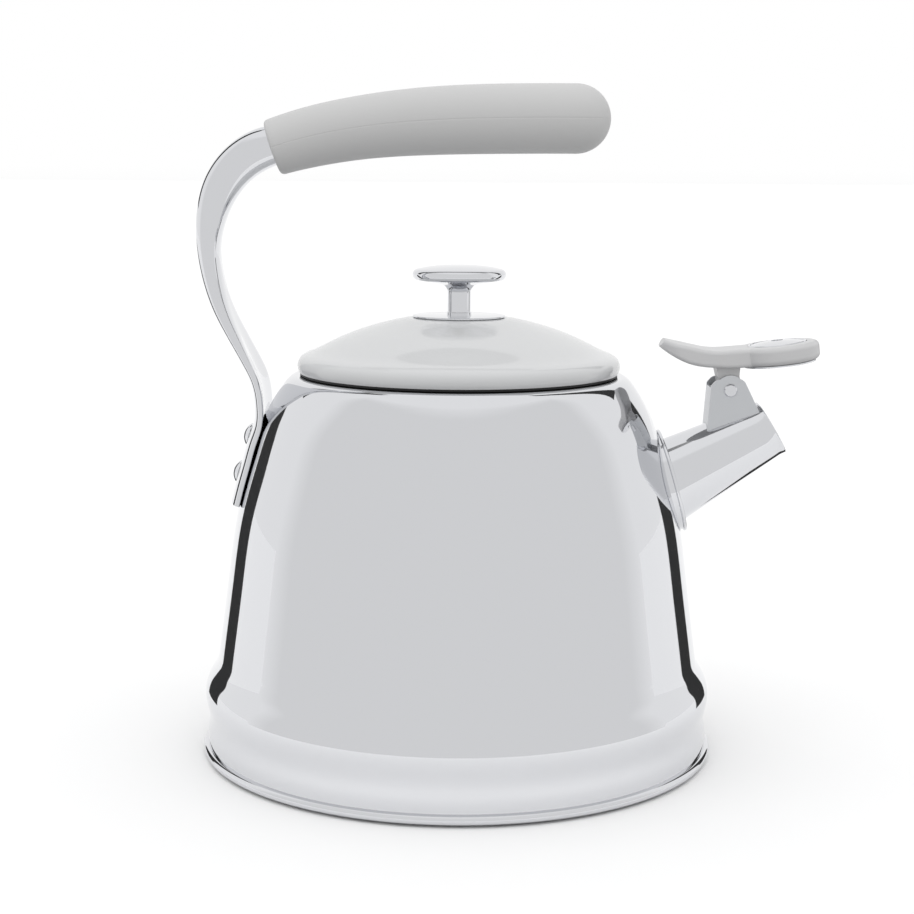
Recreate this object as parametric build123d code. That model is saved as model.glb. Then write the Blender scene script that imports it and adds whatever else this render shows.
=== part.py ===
from build123d import *
from math import atan2, cos, degrees, radians, sin
import os

os.makedirs("parts", exist_ok=True)

# Driving dimensions, in millimetres. The kettle stands on z = 0 with its body round the Z axis,
# its spout towards +X and its handle towards -X. The whistle lever rests open.
REACH = 80.0  # a length that runs past every part, for cuts
OVERRUN = 8.0  # how far a cutting tool starts before the metal it cuts

# Body: outline points are (radius, height) pairs on the outside of the steel sheet.
SHEET = 0.8
BODY_FOOT = (103.9, 3.4)
LOWER_BAND = (104.1, 9.0)
NECK_GROOVE = (103.4, 16.2)
BEAD = (104.9, 24.8)
BEAD_SHOULDER = (102.9, 32.6)
BEAD_END = (100.3, 36.9)
WALL_FOOT = (99.0, 42.8)
UPRIGHT = (0, 1)
WALL_LEAN = (-0.125, 0.99)
WALL = [(95.2, 72.2), (90.8, 101.4), (84.9, 123.4), (79.6, 139.5), (73.2, 151.2)]
SHOULDER_END = (66.4, 156.8)
MOUTH_R = 60.0
MOUTH_LIP_R = 1.6
COLLAR_FOOT = 149.5

# Base: a pan whose edge is rolled round the foot of the body, over an encapsulated disc.
ROLL_R = 104.15
ROLL_Z = 2.85
ROLL_SECTION_R = 1.9
ROLL_START = (102.95, 2.85)
ROLL_START_LEAN = (1, -0.2)
PAN_STEP = (98.0, 4.2)
PAN_FLOOR_Z = 5.4
PAN_FLOOR_R = 94.0
CAPSULE_R = 91.8
CAPSULE_SHEET = 0.8
CAPSULE_EDGE_R = 2.0
CAPSULE_TOP_Z = 5.2

# Spout: a tapered tube, its axis given by its points on the flange and on the mouth.
SPOUT_ROOT = Vector(90.6, 0, 114.8)
SPOUT_MOUTH = Vector(129.25, 0, 135.7)
SPOUT_ROOT_R = 16.7
SPOUT_MOUTH_R = 11.4
SPOUT_SHEET = 0.9
SPOUT_TAIL = 9.0
MOUTH_TILT = 30.8
SPOUT_LIP = 0.5
SPOUT_LIP_R = 11.3
SPOUT_TAIL_DEPTH = 4.7
FLANGE_CENTRE = Vector(87.65, 0, 113.0)
FLANGE_TILT = 15.8
FLANGE_R = 21.8
FLANGE_THICKNESS = 1.5
FLANGE_EDGE_R = 0.6
FLANGE_SEAT_R = 20.9
FLANGE_SEAT_DEPTH = 3.2

# Whistle: bracket on the spout, lever and the two whistle plates in the lever's head.
PIN = Vector(110.9, 0, 151.5)
PIN_R = 2.0
PIN_HEAD_R = 2.7
PIN_HEAD = 0.9
PIN_HEAD_BEVEL = 0.4
SPRING_WASHER_R = 4.2
SPRING_WASHER_PLAY = (0.08, 0.05)
BRACKET_WIDTH = 15.0
BRACKET_SHEET = 1.2
EAR_R = 6.2
EAR_CORNER_R = 3.0
EAR_OUTLINE = [
    (101.6, 133.0), (103.0, 153.4), (105.2, 156.0), (116.2, 156.2), (122.9, 142.8), (122.9, 139.0),
]
WEB_TOP_Z = 152.5
OPEN_SIDE_X = 108.0
LUG_WIDTH = 11.7
LUG_END_R = 4.9
LUG_TOP = [(104.7, 162.5), (115.0, 162.5), (114.6, 157.5)]
LUG_NOTCH_Z = 155.7
LUG_WAIST = 4.6
PIN_CLEARANCE = 0.05
HEAD_FOOT = Vector(131.6, 0, 162.0)
HEAD_TILT = 6.9
HEAD_R = 16.8
HEAD_HEIGHT = 7.5
HEAD_EDGE_R = 2.2
CHAMBER_R = 8.8
WHISTLE_HOLE_R = 2.35
TOP_PLATE_R = 12.0
TOP_PLATE_DOME = 1.4
BOTTOM_PLATE_R = 14.9
BOTTOM_PLATE = 0.9
BOTTOM_PLATE_EDGE_R = 0.3
BOTTOM_BOSS = 1.6
PLATE_SHEET = 0.6
PLATE_ROLL_R = 0.5
PLATE_RECESS = 0.7
PLATE_PLAY = 0.1
THUMB_TIP = (84.3, 172.0)
THUMB_UNDER_TIP = (81.9, 168.9)
ARM_TOP = [(93.8, 169.6), (103.6, 167.9), (112.0, 168.3)]
ARM_UNDER = [(88.3, 164.8), (95.7, 161.9), (104.2, 160.9)]
ARM_TOP_END = -11.0
ARM_UNDER_END = -13.0
ARM_INSIDE_HEAD = -4.0
ARM_SKIM = 0.05
ARM_TOP_START_LEAN = (1, -0.35)
ARM_UNDER_START_LEAN = (0.8, -0.6)
ARM_EDGE_R = 1.6
ARM_HALF_WIDTH = 10.2
ARM_WAIST = 0.45
ARM_HEAD_WIDENING = 1.2
THUMB_R = 11.0

# Lid: outline points are (radius, height) pairs on the outside of the enamelled sheet.
LID_SHEET = 1.2
LID_FOOT = (65.2, 158.0)
LID_NOSE = (66.1, 161.0)
LID_NOSE_TOP = (63.6, 164.9)
LID_DOME = [(60.3, 166.35), (53.8, 169.5), (42.8, 174.4), (30.0, 178.3), (20.5, 180.1)]
LID_CROWN_R = 13.0
LID_CROWN_Z = 180.3
LID_FLANGE_R = 63.6
LID_FLANGE_Z = 158.0
LID_SKIRT_R = 58.9
LID_SKIRT_FOOT = 148.0
LID_SKIRT_SHEET = 0.6
GASKET_R = 65.0
GASKET_SLEEVE_R = 59.6
GASKET_SLEEVE_FOOT = 151.0
GASKET_FOOT_Z = 157.1
JOIN = 0.3  # how far one feature of a part reaches into the next, so that they fuse

# Knob on the lid.
KNOB_PLATE_R = 19.0
KNOB_PLATE_Z = 180.35
KNOB_PLATE = 0.8
KNOB_PLATE_EDGE_R = 0.35
KNOB_COLLAR_R = 5.0
KNOB_COLLAR_TOP = 182.3
KNOB_TOP_Z = 201.6
KNOB_STEM_R = 4.75
KNOB_STEM_FOOT = 182.4
KNOB_STEM_TOP = (4.75, 190.2)
KNOB_FLARE_TOP = (7.4, 193.7)
KNOB_FLARE_LEAN = (1, 0.35)
KNOB_EDGE_FOOT = (17.0, 195.3)
KNOB_EDGE_MIDDLE = (19.15, 197.6)
KNOB_EDGE_TOP = (17.4, 199.9)
KNOB_EDGE_LEAN = (-1, 0.25)
KNOB_SCREW_R = 2.5
KNOB_SCREW_TOP = 190.0
KNOB_SCREW_SEAT = 178.2
KNOB_SCREW_HEAD_R = 4.6
KNOB_SCREW_HEAD = 2.6
KNOB_SCREW_EDGE_R = 1.2
CROSS_LENGTH = 4.4
CROSS_WIDTH = 1.0
CROSS_DEPTH = 1.3
SCREW_PLAY = 0.05
KNOB_WASHER_R = 6.5
KNOB_WASHER = 0.8
KNOB_WASHER_PLAY = 0.2

# Handle strap: stations along its middle, each (point on the outer face, direction in degrees from
# +X, depth, width, bend of its faces). It wraps the body at its foot and thickens towards the grip.
STRAP_THICKNESS = 3.5
STRAP_BITE = 1.2
STRAP_WIDTH = 40.0
STRAP_BEND = 2.4
STRAP_EDGE_R = 0.9
STRAP_ROUNDING = 0.28
STRAP_ROUNDING_MOST = 4.2
STRAP_WALL_HEIGHTS = [104.6, 113.0, 122.0, 130.5, 136.5]
STRAP_STATIONS = [
    ((-83.7, 144.6), 90.0, 3.6, 40.0, 2.3),
    ((-84.9, 153.0), 104.0, 3.8, 39.0, 2.0),
    ((-88.2, 160.5), 116.0, 4.3, 36.5, 1.6),
    ((-93.6, 170.4), 119.0, 5.4, 31.5, 1.0),
    ((-99.6, 181.4), 116.5, 7.0, 26.0, 0.6),
    ((-104.1, 193.5), 106.5, 8.4, 21.0, 0.4),
    ((-106.7, 207.0), 96.0, 9.6, 18.0, 0.4),
    ((-106.9, 220.5), 84.0, 12.2, 16.5, 0.5),
    ((-103.7, 234.8), 64.5, 15.0, 16.0, 0.6),
    ((-95.6, 247.0), 42.0, 16.4, 16.0, 0.6),
    ((-80.2, 256.2), 25.0, 16.4, 16.0, 0.6),
]
RIVET_HEIGHTS = [115.0, 130.4]
RIVET_R = 2.5
RIVET_SEAT = 3.5
RIVET_HEAD_R = 5.0
RIVET_HEAD = 2.4
RIVET_TAIL_R = 4.0
RIVET_TAIL = 1.5
RIVET_TAIL_EDGE_R = 0.8
RIVET_SEAT_PLAY = 0.3
WASHER_R = 6.0
WASHER = 1.0
WASHER_SINK = 0.35

# Grip: stations along its middle, each (point, direction in degrees, height, width).
GRIP_STATIONS = [
    ((-75.85, 248.05), 18.75, 22.8, 21.0),
    ((-60.0, 252.6), 13.0, 24.2, 22.6),
    ((-42.0, 256.1), 8.5, 25.3, 24.2),
    ((-15.0, 259.0), 4.0, 27.0, 26.2),
    ((15.0, 260.2), 1.5, 27.9, 27.6),
    ((46.7, 260.5), 0.0, 28.0, 28.0),
]
GRIP_SKIN = 2.4
GRIP_END_WALL = 3.0
TANG_DEPTH = 10.0
TANG_WIDTH = 12.0
TANG_BEND = 0.3
TANG_EDGE_R = 2.0
GRIP_PIN_R = 2.0
GRIP_PIN_HALF = 10.0
GRIP_PIN_AT = (-20.0, 0, 258.6)


def turned(face):
    """A full turn of a (radius, height) face round the Z axis."""
    return revolve(Plane.XZ * face, axis=Axis.Z)


def beside(edge, distance):
    """The curve that runs on an edge's left side at a distance."""

    def point(t):
        along = edge % t
        return (edge @ t) + Vector(-along.Y, along.X) * distance

    if edge.geom_type == GeomType.LINE:
        return Line(point(0), point(1))
    if edge.geom_type == GeomType.CIRCLE:
        return ThreePointArc(point(0), point(0.5), point(1))
    steps = 24
    return Spline(*[point(i / steps) for i in range(steps + 1)], tangents=[edge % 0, edge % 1])


def sheet(edges, thickness):
    """Face of a bent sheet whose one side is a smooth chain of edges, with the metal on its left."""
    other = [beside(edge, thickness) for edge in edges]
    foot = Line(edges[0] @ 0, other[0] @ 0)
    top = Line(edges[-1] @ 1, other[-1] @ 1)
    return make_face(edges + other + [foot, top])


def along(angle):
    """Unit vector in the XZ plane at an angle in degrees from +X towards +Z."""
    return Vector(cos(radians(angle)), 0, sin(radians(angle)))


def facing(point, angle):
    """Plane through a point of the XZ plane with its normal at an angle, and its own x along +Y."""
    return Plane(origin=point, x_dir=(0, 1, 0), z_dir=along(angle))


def rod(plane, radius, low, high):
    """Cylinder on a plane's normal between two heights over it."""
    centred = (Align.CENTER, Align.CENTER, Align.MIN)
    return plane * Pos(0, 0, low) * Cylinder(radius, high - low, align=centred)


def ring(outer, inner, low, high):
    """Plain ring round the Z axis."""
    return turned(Pos((outer + inner) / 2, (low + high) / 2) * Rectangle(outer - inner, high - low))


# ---- body and base ----


def wall_edges():
    """Outside of the body from its foot up to the mouth collar."""
    lower = Spline(
        BODY_FOOT, LOWER_BAND, NECK_GROOVE, BEAD, BEAD_SHOULDER, BEAD_END, WALL_FOOT,
        tangents=[UPRIGHT, WALL_LEAN],
    )
    upper = Spline(WALL_FOOT, *WALL, SHOULDER_END, tangents=[WALL_LEAN, (-1, 0)])
    return [lower, upper]


def body_block():
    """The body's outside as one solid block, for fitting parts against the wall."""
    edges = wall_edges()
    top = SHOULDER_END[1]
    low = BODY_FOOT[1]
    rest = Polyline(SHOULDER_END, (0, top), (0, low), BODY_FOOT)
    return turned(make_face(edges + [rest]))


def wall_point(height):
    """Point of the wall's outside at a height, as (radius, lean in degrees of its outward normal)."""
    wall = wall_edges()[1]
    low, high = 0.0, 1.0
    for _ in range(40):
        middle = (low + high) / 2
        if (wall @ middle).Y < height:
            low = middle
        else:
            high = middle
    lean = wall % low
    return (wall @ low).X, degrees(atan2(-lean.X, lean.Y))


def flange_plane():
    return facing(FLANGE_CENTRE, FLANGE_TILT)


def spout_axis():
    """Plane at the spout's root on the flange, facing along the tube."""
    run = SPOUT_MOUTH - SPOUT_ROOT
    return facing(SPOUT_ROOT, degrees(atan2(run.Z, run.X)))


def spout_cone(inset):
    """The tube's taper as a solid cone, longer than the tube at both ends."""
    length = (SPOUT_MOUTH - SPOUT_ROOT).length
    slope = (SPOUT_ROOT_R - SPOUT_MOUTH_R) / length
    low, high = -SPOUT_TAIL - OVERRUN, length + OVERRUN
    cone = Cone(
        SPOUT_ROOT_R - slope * low - inset, SPOUT_ROOT_R - slope * high - inset, high - low,
        align=(Align.CENTER, Align.CENTER, Align.MIN),
    )
    return spout_axis() * Pos(0, 0, low) * cone


def foot_band():
    """The beaded band that the wall stands on, from the rolled base up to the wall's foot."""
    return turned(sheet(wall_edges()[:1], SHEET))


def body_shell():
    """The wall up to the mouth collar, with a flat seat for the spout's flange and holes for the rivets."""
    shell = turned(sheet(wall_edges()[1:], SHEET))
    plane = flange_plane()
    seat = rod(plane, FLANGE_SEAT_R, -FLANGE_SEAT_DEPTH, 0)
    shell = shell + seat - rod(plane, FLANGE_SEAT_R, 0, OVERRUN)
    shell -= spout_cone(0)
    for height in RIVET_HEIGHTS:
        shell -= rod(rivet_plane(height), RIVET_R, -OVERRUN, OVERRUN)
    return shell


def mouth_collar():
    """Ledge under the lid's gasket, turned down over a round lip into the mouth."""
    lip_start = (MOUTH_R + MOUTH_LIP_R, SHOULDER_END[1])
    lip_end = (MOUTH_R, SHOULDER_END[1] - MOUTH_LIP_R)
    ledge = Line(SHOULDER_END, lip_start)
    lip = TangentArc(lip_start, lip_end, tangent=(-1, 0))
    collar = Line(lip_end, (MOUTH_R, COLLAR_FOOT))
    return turned(sheet([ledge, lip, collar], SHEET))


def base_pan():
    """Floor of the kettle, stepping down to the roll that grips the body's foot."""
    floor_end = (PAN_FLOOR_R, PAN_FLOOR_Z)
    floor = Line((0, PAN_FLOOR_Z), floor_end)
    step = Spline(floor_end, PAN_STEP, ROLL_START, tangents=[(1, 0), ROLL_START_LEAN])
    pan = turned(sheet([floor, step], SHEET))
    roll = turned(Pos(ROLL_R, ROLL_Z) * Circle(ROLL_SECTION_R))
    return pan + roll - turned(sheet(wall_edges(), SHEET))


def heat_spreader():
    inner = CAPSULE_R - CAPSULE_SHEET
    disc = rod(Plane.XY, inner, CAPSULE_SHEET, PAN_FLOOR_Z)
    foot_edge = disc.edges().filter_by(GeomType.CIRCLE).sort_by(Axis.Z)[0]
    return fillet(foot_edge, CAPSULE_EDGE_R - CAPSULE_SHEET)


def base_capsule():
    low = CAPSULE_EDGE_R
    bottom = Line((0, 0), (CAPSULE_R - low, 0))
    corner = RadiusArc((CAPSULE_R - low, 0), (CAPSULE_R, low), -low)
    side = Line((CAPSULE_R, low), (CAPSULE_R, CAPSULE_TOP_Z))
    return turned(sheet([bottom, corner, side], CAPSULE_SHEET))


# ---- spout ----


def spout_tube():
    tube = spout_cone(0) - spout_cone(SPOUT_SHEET)
    mouth = facing(SPOUT_MOUTH, MOUTH_TILT)
    tube -= rod(mouth, REACH, 0, REACH)
    tube -= rod(flange_plane(), REACH, -REACH, -SPOUT_TAIL_DEPTH)
    lip = mouth * Pos(0, 0, -SPOUT_LIP) * Torus(SPOUT_LIP_R, SPOUT_LIP)
    return tube + lip


def spout_flange():
    plane = flange_plane()
    plate = rod(plane, FLANGE_R, 0, FLANGE_THICKNESS)
    rim = plate.edges().filter_by(GeomType.CIRCLE).sort_by(SortBy.LENGTH)[-2:]
    return fillet(rim, FLANGE_EDGE_R) - spout_cone(0)


def whistle_bracket():
    """Channel of two ears joined by a web on the kettle's side, trimmed to sit on the spout."""
    half = BRACKET_WIDTH / 2
    outline = make_face(Polyline(*EAR_OUTLINE, close=True))
    outline = fillet(outline.vertices().sort_by(Axis.Y)[-2:], EAR_CORNER_R)
    outline += Pos(PIN.X, PIN.Z) * Circle(EAR_R)
    block = extrude(Plane.XZ * outline, amount=half, both=True)
    between = offset(outline, -BRACKET_SHEET)
    between += Pos(OPEN_SIDE_X + REACH / 2, PIN.Z) * Rectangle(REACH, REACH)
    between += Pos(PIN.X, WEB_TOP_Z + REACH / 2) * Rectangle(REACH, REACH)
    bracket = block - extrude(Plane.XZ * between, amount=half - BRACKET_SHEET, both=True) - spout_cone(0)
    return bracket - rod(pin_plane(), PIN_R, -REACH, REACH)


def pin_plane():
    return Plane(origin=PIN, x_dir=(1, 0, 0), z_dir=(0, -1, 0))


def lever_pin():
    """Headed rivet through both ears; each head is low, with a bevelled edge."""
    half = BRACKET_WIDTH / 2
    plane = pin_plane()
    pin = rod(plane, PIN_R, -half, half)
    heads = rod(plane, PIN_HEAD_R, half, half + PIN_HEAD) + rod(plane, PIN_HEAD_R, -half - PIN_HEAD, -half)
    outer = heads.edges().filter_by(GeomType.CIRCLE).sort_by(Axis.Y)
    return pin + chamfer([outer[0], outer[-1]], PIN_HEAD_BEVEL)


def lever_washers():
    """Two thin spring washers that rub on the lug and hold the lever where it is put."""
    plane = pin_plane()
    lug_play, ear_play = SPRING_WASHER_PLAY
    gap_foot = LUG_WIDTH / 2 + lug_play
    gap_top = BRACKET_WIDTH / 2 - BRACKET_SHEET - ear_play
    washers = []
    for low, high in ((gap_foot, gap_top), (-gap_top, -gap_foot)):
        washers.append(rod(plane, SPRING_WASHER_R, low, high) - rod(plane, PIN_R, low - 1, high + 1))
    return Compound(children=washers)


# ---- whistle lever ----


def head_plane():
    """Plane under the whistle's lower plate, facing up through the head."""
    return Plane(origin=HEAD_FOOT, x_dir=along(HEAD_TILT), z_dir=along(HEAD_TILT + 90))


def on_head(x, z):
    """(x, z) of a point given along and up from the head plane's own origin."""
    point = head_plane().from_local_coords(Vector(x, 0, z))
    return point.X, point.Z


def arm_block():
    """Thumb tab and arm: the side outline cut by the outline seen from above, with soft edges."""
    top_z = BOTTOM_PLATE + HEAD_HEIGHT - ARM_SKIM
    under_z = BOTTOM_PLATE + ARM_SKIM
    top_end, under_end = on_head(ARM_TOP_END, top_z), on_head(ARM_UNDER_END, under_z)
    head_top, head_under = on_head(ARM_INSIDE_HEAD, top_z), on_head(ARM_INSIDE_HEAD, under_z)
    run = along(HEAD_TILT)
    tilt = (run.X, run.Z)
    lines = [
        Spline(THUMB_TIP, *ARM_TOP, top_end, tangents=[ARM_TOP_START_LEAN, tilt]),
        Spline(THUMB_UNDER_TIP, *ARM_UNDER, under_end, tangents=[ARM_UNDER_START_LEAN, tilt]),
        Line(THUMB_TIP, THUMB_UNDER_TIP),
        Line(top_end, head_top),
        Line(under_end, head_under),
        Line(head_top, head_under),
    ]
    side = extrude(Plane.XZ * make_face(lines), amount=REACH, both=True)
    start = THUMB_UNDER_TIP[0] + THUMB_R
    middle = start + (head_top[0] - start) * ARM_WAIST
    end = head_top[0] + OVERRUN
    end_width = ARM_HALF_WIDTH + ARM_HEAD_WIDENING
    plan = Pos(start, 0) * Circle(THUMB_R) + make_face(Polyline(
        (start, THUMB_R), (middle, ARM_HALF_WIDTH), (end, end_width),
        (end, -end_width), (middle, -ARM_HALF_WIDTH), (start, -THUMB_R),
        close=True,
    ))
    arm = side & Pos(0, 0, PIN.Z) * extrude(plan, amount=REACH)
    return fillet(soft_edges(arm, head_top[0]), ARM_EDGE_R)


def soft_edges(arm, end_x):
    """The arm's long edges above and below, which run from the thumb tab into the head."""
    free = [edge for edge in arm.edges() if (edge @ 0.5).X < end_x - 1]
    return [edge for edge in free if abs((edge @ 0).Y) + abs((edge @ 1).Y) > THUMB_R]


def lug_block():
    """The lever's hinge lug, from the arm down round the pin."""
    x, z = PIN.X, PIN.Z
    tapered = make_face(Polyline(
        *LUG_TOP, (x + LUG_WAIST, z), (x - LUG_WAIST, z), (x - LUG_WAIST, LUG_NOTCH_Z), close=True
    ))
    lug = tapered + Pos(x, z) * Circle(LUG_END_R)
    return extrude(Plane.XZ * lug, amount=LUG_WIDTH / 2, both=True)


def whistle_lever():
    plane = head_plane()
    low, high = BOTTOM_PLATE, BOTTOM_PLATE + HEAD_HEIGHT
    head = rod(plane, HEAD_R, low, high)
    head = fillet(head.edges().filter_by(GeomType.CIRCLE), HEAD_EDGE_R)
    lever = head + arm_block() + lug_block()
    lever -= rod(plane, CHAMBER_R, low - 1, high + 1)
    lever -= rod(plane, TOP_PLATE_R + PLATE_PLAY, high - PLATE_RECESS, high + OVERRUN)
    return lever - rod(pin_plane(), PIN_R + PIN_CLEARANCE, -REACH, REACH)


def whistle_top_plate():
    """Domed disc with a rolled rim and the whistle's upper hole."""
    rim_r = TOP_PLATE_R - PLATE_ROLL_R
    rim_z = BOTTOM_PLATE + HEAD_HEIGHT - PLATE_RECESS + PLATE_SHEET
    dome = TangentArc((0, rim_z + TOP_PLATE_DOME), (rim_r, rim_z), tangent=(1, 0))
    outline = sheet([dome], -PLATE_SHEET) + Pos(rim_r, rim_z) * Circle(PLATE_ROLL_R)
    return head_plane() * turned(outline) - rod(head_plane(), WHISTLE_HOLE_R, -REACH, REACH)


def whistle_bottom_plate():
    """Flat disc that shuts the spout, with a boss in the chamber and the whistle's lower hole."""
    plane = head_plane()
    top = BOTTOM_PLATE - PLATE_PLAY
    disc = rod(plane, BOTTOM_PLATE_R, 0, top)
    disc = fillet(disc.edges().filter_by(GeomType.CIRCLE), BOTTOM_PLATE_EDGE_R)
    boss = rod(plane, CHAMBER_R - PLATE_PLAY, top - PLATE_PLAY, top + BOTTOM_BOSS)
    boss -= rod(plane, CHAMBER_R - PLATE_PLAY - PLATE_SHEET, top, top + OVERRUN)
    return disc + boss - rod(plane, WHISTLE_HOLE_R, -REACH, REACH)


# ---- lid ----


def lid_dome():
    nose = ThreePointArc(LID_FOOT, LID_NOSE, LID_NOSE_TOP)
    crown = (KNOB_SCREW_R + 0.2, LID_CROWN_Z)
    dome = Spline(LID_NOSE_TOP, *LID_DOME, (LID_CROWN_R, LID_CROWN_Z), crown, tangents=[nose % 1, (-1, 0)])
    return turned(sheet([nose, dome], LID_SHEET))


def lid_skirt():
    """Ring under the dome: a flange on the gasket and a skirt that drops into the mouth."""
    inner = LID_SKIRT_R - LID_SKIRT_SHEET
    flange = ring(LID_FLANGE_R, inner, LID_FLANGE_Z, LID_FLANGE_Z + LID_SKIRT_SHEET)
    skirt = ring(LID_SKIRT_R, inner, LID_SKIRT_FOOT, LID_FLANGE_Z + JOIN)
    return flange + skirt


def lid_gasket():
    """Silicone ring: a lip between the lid's rim and the mouth ledge, and a sleeve on the skirt."""
    lip = ring(GASKET_R, LID_SKIRT_R, GASKET_FOOT_Z, LID_FLANGE_Z)
    sleeve = ring(GASKET_SLEEVE_R, LID_SKIRT_R, GASKET_SLEEVE_FOOT, GASKET_FOOT_Z + JOIN)
    return lip + sleeve


def knob_plate():
    plate = rod(Plane.XY, KNOB_PLATE_R, KNOB_PLATE_Z, KNOB_PLATE_Z + KNOB_PLATE)
    plate = fillet(plate.edges().filter_by(GeomType.CIRCLE), KNOB_PLATE_EDGE_R)
    return plate - rod(Plane.XY, KNOB_SCREW_R, KNOB_SCREW_SEAT, KNOB_TOP_Z)


def knob_collar():
    low = KNOB_PLATE_Z + KNOB_PLATE
    collar = rod(Plane.XY, KNOB_COLLAR_R, low, KNOB_COLLAR_TOP)
    return collar - rod(Plane.XY, KNOB_SCREW_R, KNOB_SCREW_SEAT, KNOB_TOP_Z)


def knob():
    """Domed disc on a stem that flares into it, with a blind threaded hole for the screw."""
    lines = [
        Polyline((0, KNOB_STEM_FOOT), (KNOB_STEM_R, KNOB_STEM_FOOT), KNOB_STEM_TOP),
        Spline(KNOB_STEM_TOP, KNOB_FLARE_TOP, tangents=[UPRIGHT, KNOB_FLARE_LEAN]),
        Line(KNOB_FLARE_TOP, KNOB_EDGE_FOOT),
        ThreePointArc(KNOB_EDGE_FOOT, KNOB_EDGE_MIDDLE, KNOB_EDGE_TOP),
        Spline(KNOB_EDGE_TOP, (0, KNOB_TOP_Z), tangents=[KNOB_EDGE_LEAN, (-1, 0)]),
        Line((0, KNOB_TOP_Z), (0, KNOB_STEM_FOOT)),
    ]
    hole = rod(Plane.XY, KNOB_SCREW_R, KNOB_SCREW_SEAT, KNOB_SCREW_TOP + JOIN)
    return turned(make_face(lines)) - hole


def knob_washer():
    top = KNOB_SCREW_SEAT + KNOB_WASHER
    hole_r = KNOB_SCREW_R + KNOB_WASHER_PLAY
    return ring(KNOB_WASHER_R, hole_r, KNOB_SCREW_SEAT, top)


def knob_screw():
    """Pan-head screw from inside the lid up into the knob, with a cross recess."""
    seat = KNOB_SCREW_SEAT
    foot = seat - KNOB_SCREW_HEAD
    head = rod(Plane.XY, KNOB_SCREW_HEAD_R, foot, seat)
    head = fillet(head.edges().filter_by(GeomType.CIRCLE).sort_by(Axis.Z)[0], KNOB_SCREW_EDGE_R)
    slot = Box(CROSS_LENGTH, CROSS_WIDTH, 2 * CROSS_DEPTH)
    cross = Pos(0, 0, foot) * (slot + Rot(0, 0, 90) * slot)
    return head + rod(Plane.XY, KNOB_SCREW_R - SCREW_PLAY, seat, KNOB_SCREW_TOP) - cross


# ---- handle ----


def strap_section(plane, depth, width, bend, corner):
    """Bent bar section on a plane: x across the strap, y out from the kettle."""
    half, mid = width / 2, depth / 2
    face = make_face([
        ThreePointArc((-half, -mid - bend), (0, -mid), (half, -mid - bend)),
        Line((half, -mid - bend), (half, mid - bend)),
        ThreePointArc((half, mid - bend), (0, mid), (-half, mid - bend)),
        Line((-half, mid - bend), (-half, -mid - bend)),
    ])
    return plane * fillet(face.vertices(), corner)


def strap_sections():
    """Sections up the wall, which bite into it to be trimmed, then free of it to the grip."""
    sections = []
    depth = STRAP_THICKNESS + STRAP_BITE
    for height in STRAP_WALL_HEIGHTS:
        radius, lean = wall_point(height)
        out = along(180 - lean)
        middle = Vector(-radius, 0, height) + out * (depth / 2 - STRAP_BITE)
        plane = facing(middle, 90 - lean)
        sections.append(strap_section(plane, depth, STRAP_WIDTH, STRAP_BEND, STRAP_EDGE_R))
    for (x, z), direction, depth, width, bend in STRAP_STATIONS:
        middle = Vector(x, 0, z) - along(direction + 90) * (depth / 2)
        corner = min(STRAP_ROUNDING * depth, STRAP_ROUNDING_MOST)
        sections.append(strap_section(facing(middle, direction), depth, width, bend, corner))
    return sections


def tang_sections():
    """The strap's tongue inside the grip, from the grip's mouth along its middle."""
    sections = [strap_sections()[-1]]
    for (x, z), direction, _, _ in GRIP_STATIONS[1:5]:
        plane = facing(Vector(x, 0, z), direction)
        sections.append(strap_section(plane, TANG_DEPTH, TANG_WIDTH, TANG_BEND, TANG_EDGE_R))
    return sections


def handle_strap():
    strap = loft(strap_sections()) - body_block()
    strap += loft(tang_sections())
    for height in RIVET_HEIGHTS:
        plane = rivet_plane(height)
        strap -= rod(plane, RIVET_R, -OVERRUN, OVERRUN)
        strap -= rod(plane, RIVET_HEAD_R + RIVET_SEAT_PLAY, RIVET_SEAT, RIVET_SEAT + OVERRUN)
    return strap - rod(grip_pin_plane(), GRIP_PIN_R, -REACH, REACH)


def rivet_plane(height):
    """Plane on the wall's outside behind the handle, facing out along the rivet."""
    radius, lean = wall_point(height)
    return facing(Vector(-radius, 0, height), 180 - lean)


def handle_rivets():
    """Two domed rivets through strap, wall and washer."""
    rivets = []
    seat = RIVET_SEAT
    inside = -SHEET - WASHER_SINK - WASHER
    dome_r = (RIVET_HEAD_R**2 + RIVET_HEAD**2) / (2 * RIVET_HEAD)
    for height in RIVET_HEIGHTS:
        plane = rivet_plane(height)
        dome = plane * Pos(0, 0, seat + RIVET_HEAD - dome_r) * Sphere(dome_r)
        head = dome & rod(plane, dome_r, seat, seat + OVERRUN)
        tail = rod(plane, RIVET_TAIL_R, inside - RIVET_TAIL, inside)
        tail = fillet(tail.edges().filter_by(GeomType.CIRCLE).sort_by(Axis.X)[-1], RIVET_TAIL_EDGE_R)
        rivets.append(head + rod(plane, RIVET_R, inside, seat) + tail)
    return Compound(children=rivets)


def rivet_washers():
    """Plain washers inside the wall under the rivets' tails."""
    washers = []
    outer = -SHEET - WASHER_SINK
    for height in RIVET_HEIGHTS:
        plane = rivet_plane(height)
        washers.append(rod(plane, WASHER_R, outer - WASHER, outer) - rod(plane, RIVET_R, -OVERRUN, OVERRUN))
    return Compound(children=washers)


def grip_block(inset, start_inset):
    """The grip's outside, or a smaller copy of it; its round last section carries a half ball."""
    sections = []
    for i, ((x, z), direction, height, width) in enumerate(GRIP_STATIONS):
        middle = Vector(x, 0, z)
        if i == 0:
            middle += along(direction) * start_inset
        ellipse = Ellipse(width / 2 - inset, height / 2 - inset)
        sections.append(facing(middle, direction) * ellipse)
    (x, z), direction, height, _ = GRIP_STATIONS[-1]
    end = facing(Vector(x, 0, z), direction) * Sphere(height / 2 - inset, arc_size1=0, align=None)
    return loft(sections) + end


def grip_pin_plane():
    return Plane(origin=GRIP_PIN_AT, x_dir=(1, 0, 0), z_dir=(0, -1, 0))


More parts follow.
